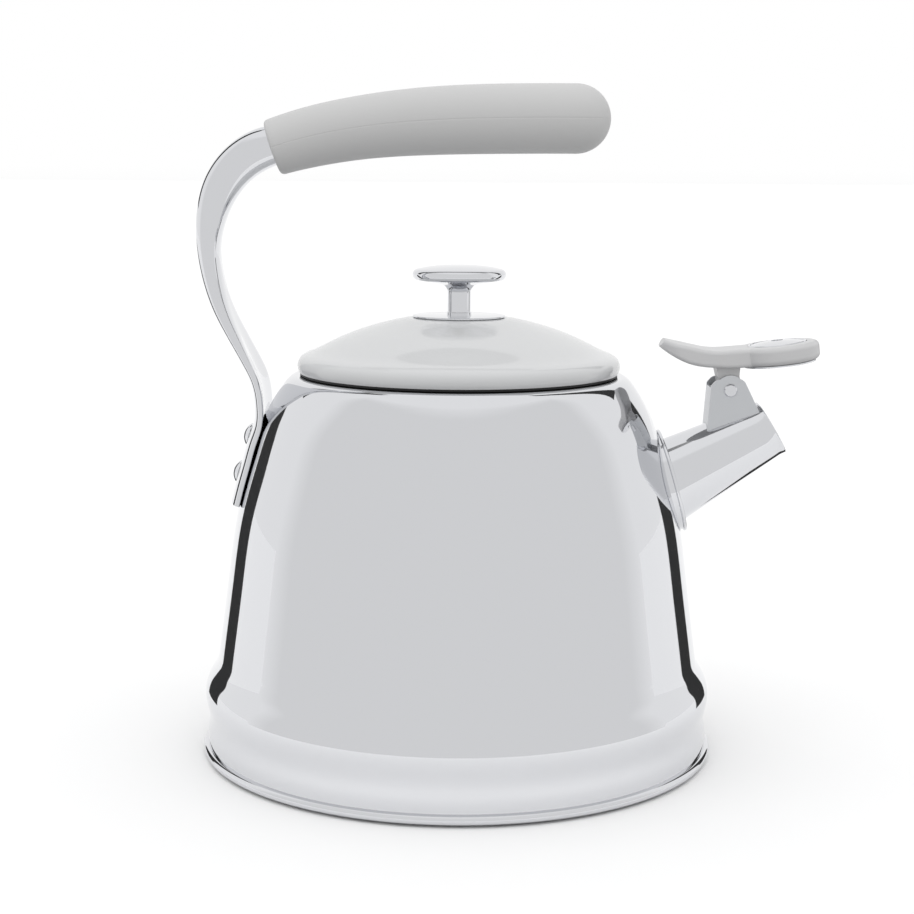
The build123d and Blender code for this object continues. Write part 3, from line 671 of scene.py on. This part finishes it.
class KETTLE_OT_stage(bpy.types.Operator):
    """Sets the floor, the light and the camera"""

    bl_idname = "kettle.stage"
    bl_label = "Studio"

    def execute(self, context):
        studio = context.scene.kettle_studio
        self.camera(context.scene)
        self.floor()
        self.surround(context.scene, studio)
        self.overhead(studio)
        self.screen(studio)
        self.flags()
        context.scene.view_settings.view_transform = "Standard"
        return {"FINISHED"}

    def camera(self, scene):
        data = bpy.data.cameras.new("camera")
        data.sensor_width = CAMERA_SENSOR
        data.lens = CAMERA_LENS
        data.clip_start = CAMERA_NEAR
        view = bpy.data.objects.new("camera", data)
        roll = Matrix.Rotation(radians(CAMERA_ROLL), 4, "Z")
        tilt = Matrix.Rotation(radians(90 - CAMERA_PITCH), 4, "X")
        view.matrix_world = Matrix.Translation(CAMERA_PLACE) @ tilt @ roll
        scene.collection.objects.link(view)
        scene.camera = view

    def floor(self):
        half = FLOOR_HALF
        corners = [(-half, -half, 0), (half, -half, 0), (half, half, 0), (-half, half, 0)]
        mesh = bpy.data.meshes.new("floor")
        mesh.from_pydata(corners, [], [(0, 1, 2, 3)])
        paper, tree, shader = finish("seamless_paper_white")
        if tree:
            set_shader(shader, Base_Color=from_hex("F7F7F7"), Roughness=0.9)
            shader.inputs["Specular IOR Level"].default_value = 0.1
        mesh.materials.append(paper)
        sheet_of_paper = loose_object("floor", mesh)
        sheet_of_paper.visible_diffuse = False

    def surround(self, scene, studio):
        """White all round, and greyer from below, where the paper only bounces part of the light."""
        world = bpy.data.worlds.new("surround")
        world.use_nodes = True
        scene.world = world
        tree = world.node_tree
        back = next(n for n in tree.nodes if n.type == "BACKGROUND")
        back.inputs["Color"].default_value = (1.0, 1.0, 1.0, 1.0)
        place = node(tree, "ShaderNodeTexCoord")
        level = node(tree, "ShaderNodeSeparateXYZ", {0: place.outputs["Generated"]})
        strength = node(
            tree, "ShaderNodeMapRange",
            {
                "Value": level.outputs["Z"], "From Min": BOUNCE_FADE[0], "From Max": BOUNCE_FADE[1],
                "To Min": studio.bounce, "To Max": studio.surround,
            },
        )
        tree.links.new(strength.outputs[0], back.inputs["Strength"])

    def overhead(self, studio):
        """A very soft light from above, which keeps the paper white and darkens it under the base."""
        data = bpy.data.lights.new("overhead", "SUN")
        data.energy = studio.top_light
        data.angle = radians(LIGHT_SPREAD)
        light = bpy.data.objects.new("overhead", data)
        light.rotation_euler = (radians(LIGHT_LEAN[0]), radians(LIGHT_LEAN[1]), 0)
        light.visible_glossy = False
        bpy.context.scene.collection.objects.link(light)

    def screen(self, studio):
        """Half-round grey screen behind the camera, which the polished wall shows in its middle."""
        cloth, tree, _ = finish("studio_screen_grey")
        if tree:
            place = node(tree, "ShaderNodeTexCoord")
            parts = node(tree, "ShaderNodeSeparateXYZ", {0: place.outputs["Object"]})
            side = node(
                tree, "ShaderNodeMapRange",
                {
                    "Value": parts.outputs["Y"], "From Min": SCREEN_SIDE_FADE[0],
                    "From Max": SCREEN_SIDE_FADE[1],
                },
            )
            top = node(
                tree, "ShaderNodeMapRange",
                {
                    "Value": parts.outputs["Z"], "From Min": SCREEN_TOP - SCREEN_TOP_FADE,
                    "From Max": SCREEN_TOP,
                },
            )
            fade = node(
                tree, "ShaderNodeMath", {0: side.outputs[0], 1: top.outputs[0]}, operation="MAXIMUM"
            )
            tone = node(
                tree, "ShaderNodeMapRange",
                {"Value": fade.outputs[0], "To Min": studio.front_tone, "To Max": studio.surround},
            )
            glow = node(tree, "ShaderNodeEmission", {"Strength": tone.outputs[0]})
            out = next(n for n in tree.nodes if n.type == "OUTPUT_MATERIAL")
            tree.links.new(glow.outputs[0], out.inputs["Surface"])
        work = bmesh.new()
        rows = []
        for turn in range(-SCREEN_HALF_TURN, SCREEN_HALF_TURN + 1, SCREEN_STEP):
            x, y = SCREEN_R * sin(radians(turn)), -SCREEN_R * cos(radians(turn))
            rows.append([work.verts.new((x, y, z)) for z in (0, SCREEN_TOP)])
        for (a, b), (c, d) in zip(rows, rows[1:]):
            work.faces.new((a, c, d, b))
        mesh = bpy.data.meshes.new("screen")
        work.to_mesh(mesh)
        work.free()
        mesh.materials.append(cloth)
        self.reflected_only(loose_object("screen", mesh))

    def reflected_only(self, card):
        """Keeps a card to what the steel shows of it."""
        card.visible_camera = False
        card.visible_diffuse = False
        card.visible_shadow = False

    def flags(self):
        """Narrow dark flags behind the kettle, which draw the dark lines down its polished sides."""
        black, tree, shader = finish("studio_flag_black")
        if tree:
            set_shader(shader, Base_Color=from_hex("464646"), Roughness=0.95)
            shader.inputs["Specular IOR Level"].default_value = 0.0
        flags = [
            ("left", -1, FLAG_OUTLINE), ("right", 1, FLAG_OUTLINE),
            ("left_high", -1, HIGH_FLAG), ("right_high", 1, HIGH_FLAG),
        ]
        for name, side, outline in flags:
            corners = []
            for share, height in outline:
                spot = Vector(FLAG_NEAR).lerp(Vector(FLAG_FAR), share)
                corners.append((side * spot.x, spot.y, height))
            mesh = bpy.data.meshes.new("flag")
            mesh.from_pydata(corners, [], [tuple(range(len(corners)))])
            mesh.materials.append(black)
            self.reflected_only(loose_object(f"flag_{name}", mesh))


class KETTLE_OT_body(bpy.types.Operator):
    """Turns the polished wall with its mouth, and opens it at the spout's flat seat"""

    bl_idname = "kettle.body"
    bl_label = "Body wall"

    def execute(self, context):
        steel = mirror_polished_stainless()
        segments = context.scene.kettle_sizes.body_segments
        wall = loose_object("wall", lathe(sheet(wall_line(), SHEET), segments, steel))
        tidy(wall.data)
        place = standing(FLANGE_CENTRE, FLANGE_TILT)
        cylinder = [(0, -CUT_REACH), (SEAT_R, -CUT_REACH), (SEAT_R, CUT_REACH), (0, CUT_REACH)]
        round_faces = context.scene.kettle_sizes.small_segments
        cut = lathe(cylinder, round_faces, steel, place)
        cutter = loose_object("cutter", tidy(cut))
        modifier = wall.modifiers.new("opening", "BOOLEAN")
        modifier.operation, modifier.solver, modifier.object = "DIFFERENCE", "EXACT", cutter
        opened = evaluated(wall)
        bpy.data.objects.remove(cutter)
        rim, foot = SEAT_R + SEAT_OVERLAP, (FLANGE_HOLE_R, -SEAT_DEPTH)
        boss = [foot, (rim, -SEAT_DEPTH), (rim, 0), (FLANGE_HOLE_R, 0), foot]
        seat = lathe(boss, round_faces, steel, place)
        covered = ["body_shell", "foot_band", "mouth_collar"]
        piece("body_wall", "kettle", [opened, seat], covered)
        return {"FINISHED"}


class KETTLE_OT_base(bpy.types.Operator):
    """Turns the pan and its rolled edge, and finishes the disc and the cup under it"""

    bl_idname = "kettle.base"
    bl_label = "Base"

    def execute(self, context):
        steel = mirror_polished_stainless()
        segments = context.scene.kettle_sizes.body_segments
        floor = joined(PAN_FLOOR, spline(PAN_STEP, (1, 0), (1, -0.2), 8))
        pan = lathe(sheet(floor, SHEET), segments, steel)
        roll = lathe(arc(ROLL_CENTRE, ROLL_R, 0, 360, 28), segments, steel)
        piece("base_pan_rolled", "kettle", [roll, pan], ["base_pan"])
        dress(spun_brushed_stainless(), "base_capsule")
        dress(pressed_aluminium(), "heat_spreader")
        return {"FINISHED"}


class KETTLE_OT_spout(bpy.types.Operator):
    """Turns the tapered spout with its lip, and the flange that it stands in"""

    bl_idname = "kettle.spout"
    bl_label = "Spout"

    def execute(self, context):
        steel = mirror_polished_stainless()
        segments = context.scene.kettle_sizes.small_segments
        run = SPOUT_MOUTH - SPOUT_ROOT
        length, lean = run.length, atan2(run.z, run.x) * 180 / pi
        taper = (SPOUT_MOUTH_R - SPOUT_ROOT_R) / length
        tilt = tan(radians(MOUTH_TILT - lean))

        def bend(point):
            shift = max(point.z, 0) / length * tilt * point.x
            return Vector((point.x, point.y, point.z + shift))

        def wall(height):
            return SPOUT_ROOT_R + taper * height

        levels = [length * i / 16 for i in range(1, 16)]
        outer = [(wall(h), h) for h in [-SPOUT_TAIL, 0, *levels]]
        lip = arc((SPOUT_MOUTH_R - 0.05, length - 0.55), 0.55, -20, 200, 12)
        inner = [(wall(h) - SPOUT_SHEET, h) for h in [*levels[::-1], 0, -SPOUT_TAIL]]
        outline = joined(outer, lip, inner) + [Vector(outer[0])]
        tube = lathe(outline, segments, steel, standing(SPOUT_ROOT, lean), bend)
        piece("spout_barrel", "kettle", [tube], ["spout_tube"])
        edge, thick = FLANGE_EDGE_R, FLANGE_THICKNESS
        ring = joined(
            [(FLANGE_HOLE_R, 0)],
            arc((FLANGE_R - edge, edge), edge, -90, 0, 6),
            arc((FLANGE_R - edge, thick - edge), edge, 0, 90, 6),
            [(FLANGE_HOLE_R, thick)],
        )
        disc = lathe(ring + [ring[0]], segments, steel, standing(FLANGE_CENTRE, FLANGE_TILT))
        piece("spout_flange_disc", "kettle", [disc], ["spout_flange"], 50)
        return {"FINISHED"}


class KETTLE_OT_whistle(bpy.types.Operator):
    """Turns the whistle's two plates, and finishes the lever, its bracket and its pin"""

    bl_idname = "kettle.whistle"
    bl_label = "Whistle"

    def execute(self, context):
        steel = mirror_polished_stainless()
        segments = context.scene.kettle_sizes.small_segments
        place = standing(HEAD_FOOT, HEAD_TILT)
        rim_r = TOP_PLATE_R - PLATE_ROLL_R
        crown = TOP_PLATE_Z + TOP_PLATE_DOME
        rise = (rim_r**2 + TOP_PLATE_DOME**2) / (2 * TOP_PLATE_DOME)
        dome = [
            Vector((r, crown - rise + (rise**2 - r**2) ** 0.5))
            for r in [WHISTLE_HOLE_R + (rim_r - WHISTLE_HOLE_R) * i / 12 for i in range(13)]
        ]
        top = lathe(sheet(dome, -PLATE_SHEET), segments, steel, place)
        rim = lathe(arc((rim_r, TOP_PLATE_Z), PLATE_ROLL_R, 0, 360, 16), segments, steel, place)
        piece("whistle_plate_domed", "whistle", [top, rim], ["whistle_top_plate"], 50)
        edge = BOTTOM_EDGE_R
        flat = joined(
            [(WHISTLE_HOLE_R, 0)],
            arc((BOTTOM_PLATE_R - edge, edge), edge, -90, 0, 5),
            arc((BOTTOM_PLATE_R - edge, BOTTOM_PLATE - edge), edge, 0, 90, 5),
            [(BOSS_R, BOTTOM_PLATE), (BOSS_R, BOSS_TOP), (BOSS_R - PLATE_SHEET, BOSS_TOP)],
            [(BOSS_R - PLATE_SHEET, BOTTOM_PLATE), (WHISTLE_HOLE_R, BOTTOM_PLATE)],
        )
        disc = lathe(flat + [flat[0]], segments, steel, place)
        piece("whistle_plate_flat", "whistle", [disc], ["whistle_bottom_plate"])
        dress(heat_proof_plastic(), "whistle_lever")
        dress(bead_blasted_stainless(), "whistle_bracket")
        dress(steel, "lever_pin")
        dress(spun_brushed_stainless(), "lever_washers")
        return {"FINISHED"}


class KETTLE_OT_lid(bpy.types.Operator):
    """Turns the enamelled lid, and finishes its skirt and gasket"""

    bl_idname = "kettle.lid"
    bl_label = "Lid"

    def execute(self, context):
        nose = arc_through(*LID_NOSE, 12)
        dome = spline(LID_DOME, nose[-1] - nose[-2], INWARDS, 8)
        outline = sheet(joined(nose, dome), LID_SHEET)
        skin = lathe(outline, context.scene.kettle_sizes.body_segments, vitreous_enamel())
        piece("lid_enamelled", "lid", [skin], ["lid_dome"])
        dress(spun_brushed_stainless(), "lid_skirt")
        # The gasket's dense black is partly its own colour and partly painted shade standing for the shadow
        # in the gap under the lid.
        dress(silicone_black_with_painted_gap_shade(), "lid_gasket")
        return {"FINISHED"}


class KETTLE_OT_knob(bpy.types.Operator):
    """Turns the knob and its plate, and finishes its collar and the screw inside"""

    bl_idname = "kettle.knob"
    bl_label = "Knob"

    def execute(self, context):
        steel = mirror_polished_stainless()
        segments = context.scene.kettle_sizes.small_segments
        outline = joined(
            KNOB_STEM,
            spline(KNOB_FLARE, UPRIGHT, (1, 0.35), 12),
            arc_through(*KNOB_RIM, 20),
            spline([KNOB_RIM[-1], (0.0, KNOB_TOP_Z)], (-1, 0.25), INWARDS, 16),
        )
        piece("knob_turned", "lid", [lathe(outline, segments, steel)], ["knob"], 50)
        low, edge = KNOB_PLATE_Z, KNOB_PLATE_EDGE_R
        high = low + KNOB_PLATE
        plate = joined(
            [(SCREW_R, low)],
            arc((KNOB_PLATE_R - edge, low + edge), edge, -90, 0, 5),
            arc((KNOB_PLATE_R - edge, high - edge), edge, 0, 90, 5),
            [(SCREW_R, high)],
        )
        disc = lathe(plate + [plate[0]], segments, steel)
        piece("knob_plate_disc", "lid", [disc], ["knob_plate"], 50)
        dress(steel, "knob_collar")
        dress(spun_brushed_stainless(), "knob_washer", "knob_screw")
        return {"FINISHED"}


class KETTLE_OT_handle(bpy.types.Operator):
    """Sets the rivets through the handle strap, and sweeps the strap"""

    bl_idname = "kettle.handle"
    bl_label = "Handle strap and rivets"

    def execute(self, context):
        steel = mirror_polished_stainless()
        sizes = context.scene.kettle_sizes
        radius, height = sizes.rivet_head_radius / MM, sizes.rivet_head_height / MM
        ball = (radius**2 + height**2) / (2 * height)
        centre = RIVET_SEAT + height - ball
        edge = atan2(RIVET_SEAT - centre, radius) * 180 / pi
        foot = RIVET_TAIL_FOOT
        end = foot - RIVET_TAIL
        outline = joined(
            [(0, end), (RIVET_TAIL_R, end), (RIVET_TAIL_R, foot), (RIVET_R, foot)],
            [(RIVET_R, RIVET_SEAT), (radius, RIVET_SEAT)],
            arc((0, centre), ball, edge, 90, 14),
        )
        rivet = loose_object("rivet", tidy(lathe(outline, RIVET_SEGMENTS, steel), RIVET_CREASE))
        points = bpy.data.meshes.new("rivet_points")
        stands = []
        facings = []
        for level in RIVET_HEIGHTS:
            wall_r, lean = wall_at(level)
            stands.append((-wall_r * MM, 0, level * MM))
            facings.extend(along(180 - lean))
        points.from_pydata(stands, [], [])
        points.attributes.new("facing", "FLOAT_VECTOR", "POINT").data.foreach_set("vector", facings)
        holder = loose_object("rivet_points", points)
        modifier = holder.modifiers.new("rivets", "NODES")
        modifier.node_group = rivet_group()
        set_input(modifier, "Rivet", rivet)
        set_input(modifier, "Material", steel)
        made = evaluated(holder)
        bpy.data.objects.remove(rivet)
        piece("strap_rivets", "kettle", [made], ["handle_rivets"], RIVET_CREASE)
        bar = self.bar()
        bar.materials.append(steel)
        piece("strap_bar", "kettle", [bar], ["handle_strap"], 50)
        dress(spun_brushed_stainless(), "rivet_washers")
        return {"FINISHED"}

    def bar(self):
        """Closed bar through oval sections, from the foot on the wall to the tongue in the grip."""
        stations = []
        depth, width, bend = STRAP_WALL
        for height in STRAP_WALL_HEIGHTS:
            radius, lean = wall_at(height)
            middle = Vector((-radius, 0, height)) + along(180 - lean) * depth / 2
            stations.append(Vector((middle.x, middle.z, depth, width, bend)))
        for x, z, direction, depth, width, bend in STRAP_STATIONS:
            middle = Vector((x, 0, z)) - along(direction + 90) * depth / 2
            stations.append(Vector((middle.x, middle.z, depth, width, bend)))
        x, z, direction, depth, width, bend = STRAP_TONGUE
        stations.append(Vector((x, z, depth, width, bend)))
        start = (stations[1] - stations[0]).normalized()
        tongue = along(direction)
        path = spline(stations, start, (tongue.x, tongue.z, 0, 0, 0), 12)
        work = bmesh.new()
        loops = []
        for i, (x, z, depth, width, bend) in enumerate(path):
            run = path[min(i + 1, len(path) - 1)] - path[max(i - 1, 0)]
            ahead = Vector((run.x, 0, run.y)).normalized()
            outward = Vector((-ahead.z, 0, ahead.x))
            flatness = 2.4 + 1.6 * max(0, min(1, (width / depth - 2) / 4))
            loop = []
            for turn in range(0, 360, 5):
                across, out = cos(radians(turn)), sin(radians(turn))
                size = (abs(across) ** flatness + abs(out) ** flatness) ** (-1 / flatness)
                y = width / 2 * across * size
                lift = depth / 2 * out * size - bend * (across * size) ** 2
                loop.append(work.verts.new((Vector((x, y, z)) + outward * lift) * MM))
            loops.append(loop)
        count = len(loops[0])
        for a, b in zip(loops, loops[1:]):
            for i in range(count):
                work.faces.new((a[i], a[(i + 1) % count], b[(i + 1) % count], b[i]))
        work.faces.new(loops[0])
        work.faces.new(loops[-1])
        mesh = bpy.data.meshes.new("bar")
        work.to_mesh(mesh)
        work.free()
        return mesh


class KETTLE_OT_grip(bpy.types.Operator):
    """Sweeps the grip's soft skin along its bend, with the moulding line down both sides"""

    bl_idname = "kettle.grip"
    bl_label = "Grip"

    def execute(self, context):
        seam = context.scene.kettle_sizes.grip_seam_depth / MM
        stations = [Vector((x, z, height, width)) for x, z, _, height, width in GRIP_STATIONS]
        start = Vector((*along(GRIP_STATIONS[0][2]).xz, 0.085, 0.095))
        path = spline(stations, start, (1, 0, 0, 0), 14)
        rings = []
        for i, (x, z, height, width) in enumerate(path):
            run = path[min(i + 1, len(path) - 1)] - path[max(i - 1, 0)]
            rings.append((Vector((x, 0, z)), Vector((run.x, 0, run.y)).normalized(), height / 2, width / 2))
        middle, run, high, wide = rings[0]
        edge = GRIP_EDGE_R
        rounded = []
        for step in range(6):
            turn = radians(90 * step / 6)
            inset, ahead = edge * (1 - sin(turn)), edge * (1 - cos(turn))
            rounded.append((middle + run * ahead, run, high - inset, wide - inset))
        first = next(i for i, ring in enumerate(rings) if (ring[0] - middle).length > edge)
        middle, run, high, wide = rings[-1]
        ball = []
        for step in range(1, 16):
            turn = radians(90 * step / 16)
            ball.append((middle + run * GRIP_BALL_R * sin(turn), run, high * cos(turn), wide * cos(turn)))
        skin = self.sweep(rounded + rings[first:] + ball, middle + run * GRIP_BALL_R, seam)
        skin.materials.append(soft_touch_skin())
        piece("grip_skin", "kettle", [skin], ["grip_sleeve"], 60)
        dress(glass_filled_nylon(), "grip_core")
        dress(spun_brushed_stainless(), "grip_pin")
        return {"FINISHED"}

    def sweep(self, rings, tip, seam):
        """Closed skin through oval rings, with a fine groove at both sides."""
        turns = []
        for side in (0, 180):
            turns += [side + a for a in (0, 1, 2.2)] + [side + a for a in range(5, 176, 5)]
            turns += [side + a for a in (177.8, 179)]
        work = bmesh.new()
        loops = []
        for middle, run, high, wide in rings:
            up = Vector((-run.z, 0, run.x))
            loop = []
            for turn in turns:
                dip = seam if turn % 180 == 0 else 0
                y = (wide - dip) * cos(radians(turn))
                z = high * sin(radians(turn))
                loop.append(work.verts.new((middle + up * z + Vector((0, y, 0))) * MM))
            loops.append(loop)
        count = len(turns)
        for a, b in zip(loops, loops[1:]):
            for i in range(count):
                work.faces.new((a[i], a[(i + 1) % count], b[(i + 1) % count], b[i]))
        work.faces.new(loops[0])
        end = work.verts.new(tip * MM)
        for i in range(count):
            work.faces.new((loops[-1][i], loops[-1][(i + 1) % count], end))
        mesh = bpy.data.meshes.new("grip")
        work.to_mesh(mesh)
        work.free()
        return mesh


class KETTLE_PT_panel(bpy.types.Panel):
    """Lists the kettle's sizes, finishes and building steps"""

    bl_idname = "KETTLE_PT_panel"
    bl_label = "Whistling kettle"
    bl_space_type = "VIEW_3D"
    bl_region_type = "UI"
    bl_category = "Kettle"

    def draw(self, context):
        for group in ("kettle_sizes", "kettle_finishes", "kettle_studio"):
            settings = getattr(context.scene, group)
            box = self.layout.box()
            for name in settings.__annotations__:
                box.prop(settings, name)
        for step in STEPS:
            self.layout.operator(step.bl_idname)


STEPS = (
    KETTLE_OT_stage, KETTLE_OT_body, KETTLE_OT_base, KETTLE_OT_spout, KETTLE_OT_whistle, KETTLE_OT_lid,
    KETTLE_OT_knob, KETTLE_OT_handle, KETTLE_OT_grip,
)
GROUPS = {"kettle_sizes": KettleSizes, "kettle_finishes": KettleFinishes, "kettle_studio": KettleStudio}


def register():
    for made in (*GROUPS.values(), *STEPS, KETTLE_PT_panel):
        bpy.utils.register_class(made)
    for name, group in GROUPS.items():
        setattr(bpy.types.Scene, name, PointerProperty(type=group))


def unregister():
    for name in GROUPS:
        delattr(bpy.types.Scene, name)
    for made in reversed((*GROUPS.values(), *STEPS, KETTLE_PT_panel)):
        bpy.utils.unregister_class(made)


def main():
    register()
    for step in STEPS:
        area, name = step.bl_idname.split(".")
        getattr(getattr(bpy.ops, area), name)()


if __name__ == "__main__":
    main()
